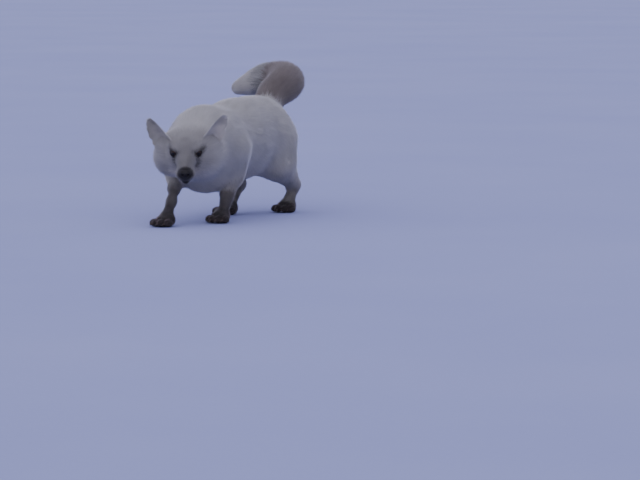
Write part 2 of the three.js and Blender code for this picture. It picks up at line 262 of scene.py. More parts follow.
def ear_place(side):
    """Frame of an ear: X across it, Y through it to the back, Z from its base to its tip."""
    base = mirrored(EAR_BASE, side)
    up = unit(EAR_TIPS[side] - base)
    across = unit(np.cross(mirrored(EAR_LEAN, side), up))
    return Place(base, np.column_stack([across, np.cross(up, across), up])).within(HEAD)


def paw_place(paw):
    """Frame of a paw on the floor, facing -Y."""
    stretch = np.diag([paw["scale"], paw["scale"], 1])
    return Place((*paw["at"], 0), turned(paw["heading"]) @ stretch)


def eye_place(side):
    """Frame of an eye, which looks along its -Y."""
    return Place(mirrored(EYE_AT, side), turned(EYE_OUTWARD * side)).within(HEAD)


SIDES = {"left": 1, "right": -1}

# ---- Shapes: each knows its coat's depth, and which way its hair lies ----


def straight(direction):
    """The lie of hair that points one way all over a shape."""
    return lambda points: np.broadcast_to(direction, points.shape)


class Shape:
    """Something blended into the body. `inset` is 0 at the coat's tips and 1 at the skin."""

    def __init__(self, region, low, high):
        self.region = region
        self.low = np.asarray(low) - REACH
        self.high = np.asarray(high) + REACH

    def near(self, points):
        """Which of the points are within reach."""
        return np.flatnonzero(np.all((points > self.low) & (points < self.high), axis=1))


class Ellipsoid(Shape):
    """An ellipsoid in a frame, with a coat of even depth."""

    def __init__(self, region, at, radii, coat, lie, place=None):
        self.place = place or Place((0, 0, 0), np.eye(3))
        self.at = np.asarray(at, float)
        self.radii = np.asarray(radii, float)
        self.coat = coat
        self.lie = lie
        centre = self.place.outside(self.at)
        super().__init__(region, centre - max(radii), centre + max(radii))

    def distance(self, points, inset):
        radii = self.radii - self.coat * inset
        local = self.place.inside(points) - self.at
        near = np.linalg.norm(local / radii, axis=1)
        slope = np.linalg.norm(local / radii**2, axis=1)
        return np.where(slope < 1e-5, -min(radii), near * (near - 1) / np.maximum(slope, 1e-5))


class Limb(Shape):
    """A capsule whose radius and coat change evenly from one end to the other. Hair lies along it."""

    def __init__(self, region, ends, radii, coats, lie=None):
        self.start, self.end = np.asarray(ends, float)
        self.radii = radii
        self.coats = coats
        self.lie = lie or straight(unit(self.end - self.start))
        low, high = np.minimum(self.start, self.end), np.maximum(self.start, self.end)
        super().__init__(region, low - max(radii), high + max(radii))

    def distance(self, points, inset):
        t, gap = along_line(points, self.start, self.end)
        radius = self.radii[0] + (self.radii[1] - self.radii[0]) * t
        coat = self.coats[0] + (self.coats[1] - self.coats[0]) * t
        return gap - radius + coat * inset


class Leaf(Shape):
    """An ear: a rounded leaf whose edges curl forward."""

    def __init__(self, side):
        self.side = side
        self.place = ear_place(side)
        self.coat = 2.0
        self.lie = straight(self.place.axes[:, 2])
        self.length = np.linalg.norm(EAR_TIPS[side] - mirrored(EAR_BASE, side))
        ends = self.place.outside([(0, 0, 0), (0, 0, self.length)])
        super().__init__("ear", ends.min(0) - EAR_HALF_WIDTH, ends.max(0) + EAR_HALF_WIDTH)

    def front_to_back(self, points):
        """How far points lie behind the ear's middle sheet, and how high above its base."""
        x, y, z = self.place.inside(points).T
        return np.where(np.abs(x) < EAR_HALF_WIDTH, y + x * x / EAR_CURL, 0), z

    def distance(self, points, inset):
        x, y, z = self.place.inside(points).T
        t = np.clip(z / self.length, 0, 1)
        coat = self.coat * inset
        half = EAR_HALF_WIDTH * np.sqrt(1 - 0.98 * t**2) - coat * 0.5
        thick = EAR_THICKNESS * (1 - 0.4 * t) / 2 - coat
        round_edge = np.sqrt(np.clip(1 - (x / half) ** 2, 0, 1))
        depth = np.abs(y + x * x / EAR_CURL) - np.maximum(thick * round_edge, 0.45)
        return 0.8 * np.maximum.reduce([depth, np.abs(x) - half, z - self.length + coat, -z])


def chain(region, points, radii, coats):
    """Limbs from joint to joint."""
    return [
        Limb(region, (points[i], points[i + 1]), radii[i : i + 2], coats[i : i + 2])
        for i in range(len(points) - 1)
    ]


def lie_back(points):
    """Along the trunk to the rear, and down its flanks."""
    flank = np.clip(np.abs(points[:, 0]) / 80, 0, 1)
    return np.column_stack([np.zeros(len(points)), np.ones(len(points)), -0.75 * flank])


def lie_down_chest(points):
    """Down the chest and back between the forelegs."""
    return np.column_stack([points[:, 0] * 0.006, np.full(len(points), 0.55), np.full(len(points), -0.8)])


def lie_from_nose(points):
    """Away from the nose, over the face and out into the ruff."""
    lie = unit(points - NOSE_TIP) + np.array([0, 0, -0.22])
    for place in EYES.values():
        past = points - place.at
        lie += unit(past) * 1.6 * ease(np.linalg.norm(past, axis=1), 17, 9)[:, None]
    return lie


def on_head(region, at, radii, coat, lie=lie_from_nose):
    """An ellipsoid of the head, placed in its frame."""
    return Ellipsoid(region, at, radii, coat, lie, HEAD)


def both_sides(region, at, radii, coat):
    """Ellipsoids on the head's left and right."""
    return [on_head(region, mirrored(at, side), radii, coat) for side in SIDES.values()]


def bridge(start, end, radii, coat):
    """A tapered limb along the muzzle."""
    return Limb("muzzle", HEAD.outside([start, end]), radii, (coat, coat), lie_from_nose)


def catmull(path, t):
    """A point at t, from 0 to 1, on the smooth curve through the path."""
    path = np.asarray(path, float)
    path = np.vstack([2 * path[0] - path[1], path, 2 * path[-1] - path[-2]])
    spans = len(path) - 3
    i = min(spans - 1, int(t * spans))
    knots = [0]
    a, b, c, d = path[i : i + 4]
    for p, q in ((a, b), (b, c), (c, d)):
        knots.append(knots[-1] + np.linalg.norm(q - p) ** 0.5)
    s = knots[1] + (t * spans - i) * (knots[2] - knots[1])

    def between(p, q, start, end):
        return p + (q - p) * (s - start) / (end - start)

    ab, bc, cd = (between(p, q, knots[j], knots[j + 1]) for j, (p, q) in enumerate(((a, b), (b, c), (c, d))))
    abc = between(ab, bc, knots[0], knots[2])
    bcd = between(bc, cd, knots[1], knots[3])
    return between(abc, bcd, knots[1], knots[2])


def trunk_shapes():
    return [
        Ellipsoid("chest", (0, -84, 154), (80, 82, 79), 15, lie_down_chest),
        Ellipsoid("trunk", (0, 26, 162), (82, 116, 88), 15, lie_back),
        Ellipsoid("trunk", (0, 114, 170), (80, 78, 80), 15, lie_back),
        Ellipsoid("chest", (-8, -94, 112), (60, 66, 55), 17, lie_down_chest),
        Limb("neck", ((2, -118, 166), (16, -178, 150)), (72, 62), (16, 17), lie_back),
    ]


def ear_root(ear):
    """Where the head rises to an ear, with the hair turning up along it."""
    return on_head("head", mirrored((38, 42, -4), ear.side), (24, 20, 20), 6, ear.lie)


def head_shapes():
    return [
        on_head("head", (0, 38, -3), (44, 48, 28), 7),
        on_head("head", (0, 13, 5), (33, 22, 18), 3),
        *both_sides("ruff", (38, 44, -33), (34, 34, 46), 15),
        on_head("ruff", (0, 44, -40), (42, 44, 32), 14),
        *both_sides("head", (19, 18, -20), (17, 24, 20), 4),
        *map(ear_root, EARS),
        bridge((0, -2, -16), (0, -42, -26), (21, 11), 2.2),
        bridge((0, 2, -7), (0, -45, -18.5), (15, 7), 1.8),
        *both_sides("muzzle", (9, -36, -30), (11, 13, 9.5), 1.8),
    ]


def jaw_shapes():
    """The lower jaw, whose hair lies back along it."""
    ends = HEAD.outside([(0, -35, -45), (0, 0, -36)])
    return [Limb("muzzle", ends, (8.5, 13), (2.2, 2.2))]


def tail_shapes():
    steps = np.linspace(0, 1, TAIL_STEPS + 1)
    points = [catmull(TAIL_PATH, t) for t in steps]
    radii = np.interp(steps, np.linspace(0, 1, len(TAIL_FUR)), TAIL_FUR)
    return chain("tail", points, radii, radii * (1 - TAIL_CORE))


def leg_shapes(name):
    leg = LEGS[name]
    region = "foreleg" if name.startswith("fore") else "hindleg"
    return chain(region, leg["joints"], leg["radii"], leg["coat"])


def paw_shapes(name):
    place = paw_place(LEGS[name]["paw"])
    lie = straight(unit(place.axes @ np.array([0, -1, -0.35])))
    return [
        Ellipsoid("paw", PALM["at"], PALM["radii"], 2.6, lie, place),
        *(Ellipsoid("paw", toe, TOE_RADII, 2.2, lie, place) for toe in TOES),
    ]


EARS = [Leaf(side) for side in SIDES.values()]
TRUNK = trunk_shapes()
SKULL = head_shapes()
JAW = jaw_shapes()
TAIL = tail_shapes()
LIMBS = {name: leg_shapes(name) for name in LEGS}
PAWS = {name: paw_shapes(name) for name in LEGS}
ALL_SHAPES = [*TRUNK, *SKULL, *JAW, *EARS, *TAIL, *sum(LIMBS.values(), []), *sum(PAWS.values(), [])]
SLOT_OF = {
    **dict.fromkeys(("chest", "trunk", "neck", "head", "ruff", "muzzle"), "body_fur"),
    "ear": "ear_fur",
    "tail": "tail_fur",
    "foreleg": "leg_fur",
    "hindleg": "leg_fur",
    "paw": "paw_fur",
}
REGIONS = tuple(SLOT_OF)
EYES = {side: eye_place(side) for side in SIDES.values()}

# ---- Fields: negative inside, in millimetres from the surface ----


def melted(a, b, reach):
    """Smooth union: surfaces closer than `reach` flow into each other."""
    share = np.maximum(0, reach - np.abs(a - b)) / reach
    return np.minimum(a, b) - share**2 * reach / 4


def nearest(shapes, points, inset, reach):
    """Distance to the shapes, melted together."""
    total = np.full(len(points), FAR)
    for shape in shapes:
        near = shape.near(points)
        if len(near):
            total[near] = melted(total[near], shape.distance(points[near], inset), reach)
    return total


def body(points, inset, ear_inset):
    """Distance to the body: to the coat's tips at inset 0 and to the skin at inset 1."""
    layer = "flesh" if inset else "coat"
    total = nearest(TRUNK, points, inset, TRUNK_MELT)
    for name in LEGS:
        leg = nearest(LIMBS[name], points, inset, LIMB_MELT)
        paw = nearest(PAWS[name], points, inset, TOE_MELT[layer])
        total = melted(total, melted(leg, paw, PAW_MELT[layer]), JOIN_MELT)
    head = nearest(SKULL, points, inset, LIMB_MELT)
    head = melted(head, nearest(JAW, points, inset, LIMB_MELT), JAW_MELT[layer])
    total = melted(total, head, JOIN_MELT)
    total = melted(total, nearest(TAIL, points, inset, TAIL_MELT), JOIN_MELT)
    return melted(total, nearest(EARS, points, ear_inset, EAR_MELT), EAR_ROOT_MELT)


def coat(points):
    """Distance to the tips of the coat."""
    return body(points, 0, 0)


def on_half(points):
    """How far points of the head are from its middle, and their Y and Z in its frame."""
    x, y, z = HEAD.inside(points).T
    return np.abs(x), y, z


def almond(points, side):
    """Distance from the column, along an eye's view, that its lids leave open."""
    local = EYES[side].inside(points)
    x = local[:, 0] * side
    z = local[:, 2] - EYE_SLANT * x
    width, height = EYE_OPENING
    radius = (width**2 + height**2) / (2 * height)
    drop = radius - height
    return np.maximum.reduce([np.hypot(x, z + drop) - radius, np.hypot(x, z - drop) - radius, local[:, 1]])


def lid_gap(points):
    """Distance from the nearer eye's opening, seen along its view."""
    return np.minimum(almond(points, 1), almond(points, -1))


def eye_distance(points):
    """Distance from the middle of the nearer eye."""
    return np.min([np.linalg.norm(place.inside(points), axis=1) for place in EYES.values()], axis=0)


def nose_distance(points):
    """0 at the middle of the nose leather and 1 on its surface."""
    return np.linalg.norm((HEAD.inside(points) - NOSE_AT) / NOSE_RADII, axis=1)


def skin(points, ear_inset=1):
    """Distance to the bare skin, with lids around the eyes and flat soles."""
    total = body(points, 1, ear_inset)
    for side, place in EYES.items():
        local = place.inside(points)
        near = np.flatnonzero(np.linalg.norm(local, axis=1) < 30)
        lids = np.linalg.norm(local[near], axis=1) - EYE_RADIUS - LID_THICKNESS
        total[near] = -melted(-melted(total[near], lids, 5), almond(points[near], side), 1.2)
    return np.maximum(total, 0.5 - points[:, 2])


def raw_skin(points):
    """The skin with thick ears, which the first mesh can't miss."""
    return skin(points, ear_inset=0)


def slope(field, points):
    """The field's value and its direction of growth."""
    here = field(points)
    step = 0.3
    growth = np.column_stack([field(points + step * axis) - here for axis in np.eye(3)]) / step
    steep = np.linalg.norm(growth, axis=1)
    return here / np.maximum(steep, 0.4), growth / np.maximum(steep, 1e-6)[:, None]


def settled(field, points, rounds, step):
    """Points moved onto the field's surface, by at most `step` a round."""
    for _ in range(rounds):
        value, normal = slope(field, points)
        points = points - normal * np.clip(value, -step, step)[:, None]
    return points


def surface_of(field, low, high, cell):
    """Points and four-sided faces of a field's surface. Only cells near the surface are worked out."""
    block = 3
    counts = np.ceil((np.asarray(high) - low) / (cell * block)).astype(int)
    spots = np.stack(np.meshgrid(*(np.arange(n) + 0.5 for n in counts), indexing="ij"), -1)
    rough = field(spots.reshape(-1, 3) * cell * block + low).reshape(counts)
    for axis in range(3):
        rough = np.repeat(rough, block, axis)
    near = np.argwhere(np.abs(rough) < cell * block * 1.4)
    rough[tuple(near.T)] = field((near + 0.5) * cell + low)
    grid = openvdb.FloatGrid()
    grid.background = cell * block
    grid.copyFromArray(np.clip(rough, -cell * block, cell * block).astype(np.float32))
    points, faces = grid.convertToQuads(isovalue=0.0)
    return (np.array(points, float) + 0.5) * cell + low, np.array(faces)


# ---- Which part of the body a point belongs to, and the lie of its hair ----


def membership(points):
    """Share of each region at each point of the skin, and the lie of the hair there."""
    gaps = []
    smallest = np.full(len(points), FAR * 4)
    for shape in ALL_SHAPES:
        near = shape.near(points)
        gap = shape.distance(points[near], 1)
        gaps.append((shape, near, gap))
        smallest[near] = np.minimum(smallest[near], gap)
    shares = {shape.region: np.zeros(len(points)) for shape in ALL_SHAPES}
    lie = np.zeros((len(points), 3))
    total = np.full(len(points), 1e-9)
    for shape, near, gap in gaps:
        share = np.exp(-(gap - smallest[near]) / 4)
        shares[shape.region][near] += share
        total[near] += share
        lie[near] += unit(shape.lie(points[near])) * np.exp(-(gap - smallest[near]) / 9)[:, None]
    return {region: share / total for region, share in shares.items()}, lie


# ---- Markings, shared by the skin and the coat ----


def along_tail(points):
    """0 at the tail's root and 1 at its tip."""
    steps = np.linspace(0, 1, 50)
    path = np.array([catmull(TAIL_PATH, t) for t in steps])
    return steps[np.argmin(((points[:, None] - path[None]) ** 2).sum(2), axis=1)]


def leg_darkness(points, normals, shares):
    """How dark the legs are: pale above, darker in front than behind, nearly black at the toes."""
    height = points[:, 2] + 6 * wander(points, 22, 3)
    front = ease(-normals[:, 1], -0.5, 0.5)
    fore = np.clip(1.6 * shares["foreleg"], 0, 1) * ease(height, 112, 66)
    hind = shares["hindleg"] * ease(height, 80 + 34 * front, 40 + 24 * front) * (0.45 + 0.55 * front)
    feet = ease(height, 64, 16) * (shares["paw"] + shares["foreleg"])
    feet += ease(height, 52, 12) * shares["hindleg"]
    return fore, hind, np.clip(feet, 0, 1)


def ear_marked(colour, points, share):
    """Colour with the ears' on it: pale behind, paler inside, and greyer to the tips."""
    on_left = HEAD.inside(points)[:, 0]
    for ear in EARS:
        x, y, z = ear.place.inside(points).T
        front = ease(y + x**2 / EAR_CURL, 0.3, -0.3)
        middle = ease(np.abs(x), 16, 7) * ease(z, ear.length - 6, 30)
        here = share * (on_left * ear.side > 0) * ease(z, 6, 26)
        colour = mix(colour, mix(EAR_BACK, FACE, 0.75 * ease(z, 25, 50)), here * 0.85)
        colour = mix(colour, EAR_INSIDE, here * front * middle)
        colour = mix(colour, colour * EAR_SHADES[ear.side], here)
    return colour


def tail_marked(colour, points, share):
    """Colour with the tail's on it: dark at first, then olive, and pale at the tip."""
    t = along_tail(points) + 0.03 * wander(points, 30, 5)
    brush = mix(TAIL_DARK, TAIL_OLIVE, ease(t, 0.52, 0.7))
    brush = mix(brush, TAIL_PALE, ease(t, 0.72, 0.88))
    return mix(colour, brush, share * ease(t, 0.02, 0.1))


def face_darkness(points, shares, head):
    """How black the face is: around and below the eyes, at the nose, along the lips, and at the chin, where
    the dark lower lip is joined by painted shade under the muzzle.
    """
    x, y, z = on_half(points)
    _, tear = along_line(np.column_stack([x, y, z]), (19, -5, -4), (19.5, -9, -24))
    tear += 2 * np.clip((-3 - z) / 14, 0, 1)
    around_eyes = np.maximum(ease(lid_gap(points), 6.5, 1.8), ease(tear, 7.5, 2.5) * 0.75)
    around_nose = ease(nose_distance(points) - 1, 0.5, 0.15)
    under_nose = ease(x, 10, 5) * ease(z, -26, -32) * ease(y, -34, -44)
    lips = ease(np.abs(z + 38.5 - 0.06 * y), 2.4, 1) * ease(x, 20, 12) * ease(y, -2, -14)
    # Painted shade under the muzzle: the front of the jaw blackened below the mouth, together with the dark
    # lower lip.
    lip_and_chin_shade = ease(z, -33, -40) * ease(y, -24, -36)
    on_muzzle = np.maximum.reduce([around_nose, under_nose, lips, lip_and_chin_shade])
    return np.clip(np.maximum(around_eyes * head, on_muzzle * shares["muzzle"]), 0, 1)


def markings(points, normals, shares):
    """Colour of the coat that grows at points of the skin."""
    y = HEAD.inside(points)[:, 1]
    head = shares["head"] + shares["ruff"] + shares["muzzle"]
    colour = mix(WHITE, BELLY, ease(points[:, 2], 150, 90) * 0.6)
    colour = mix(colour, FACE, (head + shares["ear"]) * ease(y, 62, 20) * 0.75)
    colour = mix(colour, FACE * 0.82, shares["muzzle"] * ease(y, 0, -34) * 0.8)
    colour = ear_marked(colour, points, shares["ear"])
    fore, hind, feet = leg_darkness(points, normals, shares)
    colour = mix(colour, LEG, fore * 0.9)
    colour = mix(colour, LEG, hind * 0.5)
    colour = mix(colour, PAW, feet)
    colour = tail_marked(colour, points, shares["tail"])
    colour *= (1 + 0.05 * wander(points, 45, 7) + 0.04 * wander(points, 12, 9))[:, None]
    return mix(colour, BLACK, face_darkness(points, shares, head))


# ---- Meshes ----


def shown(name, data):
    """A new object in the scene."""
    thing = bpy.data.objects.new(name, data)
    bpy.context.scene.collection.objects.link(thing)
    return thing


def object_of(mesh, material, nodes=()):
    """Shows a mesh as a piece of the fox."""
    piece = shown(mesh.name, mesh)
    mesh.materials.append(material)
    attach(piece, "root")
    if nodes:
        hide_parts(*nodes)


def mesh_of(name, points, faces):
    """A smooth mesh from drafted millimetres."""
    mesh = bpy.data.meshes.new(name)
    mesh.from_pydata(metres(points).tolist(), [], [list(face) for face in faces])
    mesh.shade_smooth()
    return mesh


def put_vectors(mesh, name, vectors):
    """Stores a vector for each of the mesh's points."""
    data = mesh.attributes.new(name, "FLOAT_VECTOR", "POINT").data
    data.foreach_set("vector", vectors.astype(np.float32).ravel())


def put_colour(mesh, colours):
    """Stores the markings, one colour for each of the mesh's points."""
    data = mesh.attributes.new("markings", "FLOAT_COLOR", "POINT").data
    data.foreach_set("color", np.column_stack([colours, np.ones(len(colours))]).astype(np.float32).ravel())


def read(elements, key, width, kind=float):
    """A row of values for each of a mesh's elements."""
    values = np.empty(len(elements) * width, kind)
    elements.foreach_get(key, values)
    return values.reshape(-1, width)


def drafted(mesh):
    """The mesh's points, back in drafted millimetres."""
    return read(mesh.vertices, "co", 3) / MM - SHIFT


def needs_detail(points):
    """How often the skin's faces are halved: once on the face and feet, up to 3 times on the lids."""
    x, y, z = on_half(points)
    face = (y < 36) & (x < 46) & (z > -60)
    ears = np.min([ear.distance(points, 0) for ear in EARS], axis=0) < 2.5
    eyes = eye_distance(points) < 13
    rims = eyes & (np.abs(lid_gap(points)) < LID_RIM)
    mouth = (y < -24) & (z < -20)
    feet = points[:, 2] < 26
    near_head = np.linalg.norm(points - HEAD.at, axis=1) < 110
    level = np.where((near_head & (face | ears)) | feet, 1, 0)
    level[near_head & (eyes | (mouth & face))] = 2
    level[rims] = 3
    return level


def refined(mesh, level):
    """Halves the faces where that much detail is needed."""
    wanted = needs_detail(drafted(mesh)) >= level
    shape = bmesh.new()
    shape.from_mesh(mesh)
    edges = [edge for edge in shape.edges if all(wanted[v.index] for v in edge.verts)]
    bmesh.ops.subdivide_edges(shape, edges=edges, cuts=1, use_grid_fill=True)
    shape.to_mesh(mesh)
    shape.free()


def unwrap(mesh):
    """Unfolds a mesh by its own shape."""
    holder = shown("unwrapping", mesh)
    bpy.context.view_layer.objects.active = holder
    holder.select_set(True)
    mesh.uv_layers.new(name="OFBake")
    bpy.ops.object.mode_set(mode="EDIT")
    bpy.ops.mesh.select_all(action="SELECT")
    bpy.ops.uv.smart_project(angle_limit=math.radians(70), island_margin=0.002)
    bpy.ops.object.mode_set(mode="OBJECT")
    bpy.data.objects.remove(holder)


def make_skin():
    """The fox's one skin, from the nose to the tail's tip."""
    low = np.min([shape.low for shape in ALL_SHAPES], axis=0) + (REACH - MARGIN)
    high = np.max([shape.high for shape in ALL_SHAPES], axis=0) - (REACH - MARGIN)
    points, faces = surface_of(raw_skin, low, high, SKIN_CELL)
    mesh = mesh_of("skin", points, faces)
    for level in (1, 2, 3):
        refined(mesh, level)
    points = settled(skin, drafted(mesh), 5, SKIN_CELL / 3)
    mesh.vertices.foreach_set("co", metres(points).ravel())
    mesh.update()
    unwrap(mesh)
    return mesh


# ---- The coat ----

PROFILES = {"long": (0.8, 1), "short": (1,)}  # width at each ring from the root, before the tip
LONG_FROM = 5  # least depth of the coat where its tufts are long and bend
PIECE_LIMIT = 190_000  # triangles in one piece of coat
PATCH = 0.003  # width of a tuft's patch on the unwrap
DOWN_SHARE = 0.18  # share of the tufts that are broad and fill the coat from below


def coat_values(mesh):
    """What each of the skin's points knows about the coat that grows there."""
    points = drafted(mesh)
    normals = read(mesh.vertices, "normal", 3)
    shares, lie = membership(points)
    return {
        "point": points,
        "normal": normals,
        "lie": lie,
        "depth": np.maximum(-coat(points), 0.3)[:, None],
        "colour": markings(points, normals, shares),
        "shares": np.column_stack([shares[region] for region in REGIONS]),
    }


def triangles_of(mesh):
    """Corners of the skin's triangles, as its points and as places on its unwrap."""
    mesh.calc_loop_triangles()
    corners = read(mesh.loop_triangles, "vertices", 3, int)
    loops = read(mesh.loop_triangles, "loops", 3, int)
    return corners, read(mesh.uv_layers["OFBake"].data, "uv", 2)[loops]


def is_bare(values):
    """Where no hair grows: eyes and lids, nose and soles."""
    points = values["point"]
    eye = (lid_gap(points) < LID_RIM) & (eye_distance(points) < 16)
    nose = nose_distance(points) < 0.92
    sole = (points[:, 2] < 5) & (values["normal"][:, 2] < -0.4)
    return eye | nose | sole


def tuft_length(depth):
    """Longer where the coat is deep."""
    return 1.9 * depth + 3


def tuft_width(depth):
    """Coarser where the coat is deep."""
    return 0.22 + 0.028 * depth


def tufts_per_area(depth):
    """Layers of overlapping hair, over the area that one tuft covers."""
    layers = np.interp(depth, (1.5, 4, 6, 15), (3.6, 5, 6, 14))
    return layers / (tuft_length(depth) * tuft_width(depth) * 1.5)


def grow_roots(mesh, values):
    """Places tufts over the skin, and gives each what its root knows."""
    corners, uvs = triangles_of(mesh)
    a, b, c = (values["point"][corners[:, i]] for i in range(3))
    area = np.linalg.norm(np.cross(b - a, c - a), axis=1) / 2
    haired = ~is_bare(values)[corners].any(axis=1)
    expected = area * haired * tufts_per_area(values["depth"][corners].mean(axis=1)[:, 0]) * DENSITY
    filled = np.cumsum(expected)
    count = int(filled[-1])
    picked = np.searchsorted(filled, (np.arange(count) + RANDOM.random(count)) * filled[-1] / count)
    picked = np.minimum(picked, len(filled) - 1)
    u, v = RANDOM.random((2, count))
    flipped = u + v > 1
    u[flipped], v[flipped] = 1 - u[flipped], 1 - v[flipped]
    weights = np.column_stack([1 - u - v, u, v])[:, :, None]
    roots = {key: (value[corners[picked]] * weights).sum(axis=1) for key, value in values.items()}
    roots["uv"] = (uvs[picked] * weights).sum(axis=1)
    roots["depth"] = roots["depth"][:, 0]
    roots["normal"] = unit(roots["normal"])
    roots["region"] = np.argmax(roots["shares"], axis=1)
    roots["down"] = (RANDOM.random(count) < DOWN_SHARE) & (roots["depth"] > 3)
    return roots


def ruffled(roots):
    """Directions of the tufts: the lie of the coat with locks that part and cross a little."""
    point, normal = roots["point"], roots["normal"]
    sideways = unit(np.cross(normal, roots["lie"]))
    locks = 0.13 * wander(point, 26, 21) + 0.1 * wander(point, 9, 22)
    turn = locks * ease(roots["depth"], 1, 14) + RANDOM.normal(0, 0.13, len(point))
    lie = unit(roots["lie"]) + sideways * turn[:, None]
    lie -= normal * (lie * normal).sum(1, keepdims=True)
    return unit(lie)


def with_lines(roots, rings, share_of_length):
    """Roots with curved middle lines, from under the skin to near the coat's surface.

    The list with them marks tufts that would come out on the other side of a thin part.
    """
    count = len(roots["point"])
    depth = roots["depth"]
    length = tuft_length(depth) * RANDOM.uniform(0.8, 1.15, count) * share_of_length
    length *= 1 + 0.1 * wander(roots["point"], 18, 31)
    tip_depth = depth * (0.6 * RANDOM.random(count) ** 2.4 + 0.04 * (1 + wander(roots["point"], 14, 32)))
    tip_depth = np.where(roots["down"], 0.4 * depth, tip_depth)
    forward = ruffled(roots)
    reach = np.sqrt(np.maximum(length**2 - (depth * 0.8) ** 2, (0.5 * length) ** 2))
    curl = RANDOM.normal(0, 0.035, count) * length
    normal = roots["normal"]
    point = roots["point"] - normal * np.minimum(0.8, 0.06 * depth)[:, None]
    crossed = np.zeros(count, bool)
    lines, normals, sides = [point], [normal], [unit(np.cross(normal, forward))]
    for k in range(1, rings + 1):
        share = k / rings
        before = (k - 1) / rings
        point = point + forward * (reach * (share**1.25 - before**1.25))[:, None]
        point = point + sides[-1] * (curl * math.sin(share * 4))[:, None]
        value, growth = slope(coat, point)
        own_side = (growth * normal).sum(1, keepdims=True) > 0
        crossed |= ~own_side[:, 0] & (depth > 3)
        normal = np.where(own_side, growth, normal)
        risen = 1 - (1 - share) ** 1.9
        wanted = -depth * (1 - risen) - tip_depth * risen
        point = point + normal * np.clip(wanted - value, -depth * 1.2, depth * 1.2)[:, None]
        forward = unit(forward - normal * (forward * normal).sum(1, keepdims=True))
        lines.append(point)
        normals.append(normal)
        sides.append(unit(np.cross(normal, forward)))
    tufts = {"lines": np.stack(lines, 1), "normals": np.stack(normals, 1), "sides": np.stack(sides, 1)}
    return {**roots, **tufts}, crossed


def strays(tufts):
    """Tufts that a hollow would turn back on themselves, or that would come out on an ear's other side."""
    lines = tufts["lines"]
    forward = np.cross(tufts["sides"][:, :-1], tufts["normals"][:, :-1])
    lost = ((np.diff(lines, axis=1) * forward).sum(-1) < 0).any(axis=1)
    for ear in EARS:
        bend, height = ear.front_to_back(tufts["point"])
        near = (np.abs(bend) < 14) & (height > -6) & (height < ear.length)
        for ring in range(1, lines.shape[1]):
            after, height = ear.front_to_back(lines[:, ring])
            lost |= near & (height < ear.length) & (bend * after < 0)
    return lost


def grown(roots, rings):
    """Tufts on their roots. Those that go astray are tried once more, much shorter."""
    parts = []
    for share in (1, 0.4):
        tufts, crossed = with_lines(roots, rings, share)
        lost = crossed | strays(tufts)
        parts.append({key: value[~lost] for key, value in tufts.items()})
        roots = {key: value[lost] for key, value in roots.items()}
    return {key: np.concatenate([part[key] for part in parts]) for key in parts[0]}


def tuft_faces(rings, count):
    """Corners of the faces of `count` three-sided tufts, and how many corners each face has."""
    tip = rings * 3
    faces = []
    for low in range(0, tip, 3):
        for s, after in ((0, 1), (1, 2), (2, 0)):
            top = (low + 3 + after, low + 3 + s) if low + 3 < tip else (tip,)
            faces.append((low + s, low + after, *top))
    starts = np.arange(count)[:, None] * (tip + 1)
    return (np.concatenate(faces) + starts).ravel(), np.tile([len(face) for face in faces], count)


def tuft_mesh(name, roots, profile, softly):
    """A mesh of tapered three-sided tufts, shaded softly as parts of the coat or crisply as themselves."""
    rings = len(profile)
    tufts = grown(roots, rings)
    lines, normals, depth = tufts["lines"], tufts["normals"], tufts["depth"]
    count = len(lines)
    width = tuft_width(depth) * RANDOM.uniform(0.75, 1.25, count) * np.where(tufts["down"], 2.6, 1)
    across = np.array([1, 0, -1])
    edge = tufts["sides"][:, :rings, None] * across[:, None]
    crown = normals[:, :rings, None] * np.array([-0.2, 0.42, -0.2])[:, None]
    widths = (np.array(profile)[:, None] * width[:, None, None])[..., None]

    def with_tips(ring_values, line_values):
        """One row for each point of each tuft, of which the last is its tip."""
        return np.concatenate([ring_values.reshape(count, -1, 3), line_values[:, rings:]], axis=1)

    points = with_tips(lines[:, :rings, None] + (edge + crown) * widths, lines)
    points[..., 2] = np.maximum(points[..., 2], 0.2)
    along = np.append(np.repeat(np.arange(rings), 3) / rings, 1.0)
    lateral = np.append(np.tile(across, rings), 0) * 0.5
    colours = root_to_tip(tufts, along)

    mesh = bpy.data.meshes.new(name)
    corners, sizes = tuft_faces(rings, count)
    mesh.vertices.add(count * len(along))
    mesh.vertices.foreach_set("co", metres(points).ravel())
    mesh.loops.add(len(corners))
    mesh.loops.foreach_set("vertex_index", corners)
    mesh.polygons.add(len(sizes))
    mesh.polygons.foreach_set("loop_start", np.concatenate([[0], np.cumsum(sizes)[:-1]]))
    mesh.polygons.foreach_set("use_smooth", np.ones(len(sizes), bool))
    mesh.update(calc_edges=True)
    put_colour(mesh, colours.reshape(-1, 3))
    strand = np.empty((count, len(along), 3))
    strand[..., 0] = lateral
    strand[..., 1] = along * tuft_length(depth)[:, None] / 30
    strand[..., 2] = RANDOM.random(count)[:, None]
    put_vectors(mesh, "strand", strand)
    patch = np.column_stack([lateral, along - 0.5]) * PATCH
    uvs = (tufts["uv"][:, None] + patch).reshape(-1, 2)
    mesh.uv_layers.new(name="OFBake").data.foreach_set("uv", uvs[corners].astype(np.float32).ravel())
    if softly:
        shading = with_tips(normals[:, :rings, None] + 0.3 * edge, normals)
        mesh.normals_split_custom_set_from_vertices(unit(shading).reshape(-1, 3))
    return mesh


def root_to_tip(tufts, along):
    """Colours along the tufts: shaded near the skin, full towards the tip, a little unlike each other."""
    tone = RANDOM.normal(1, 0.045, len(tufts["depth"]))
    shade = 0.88 + 0.12 * ease(along, 0.0, 0.65)
    deep = ease(tufts["depth"], 2, 10)[:, None]
    shade = 1 - (1 - shade) * (0.35 + 0.65 * deep)
    return tufts["colour"][:, None] * shade[..., None] * tone[:, None, None]


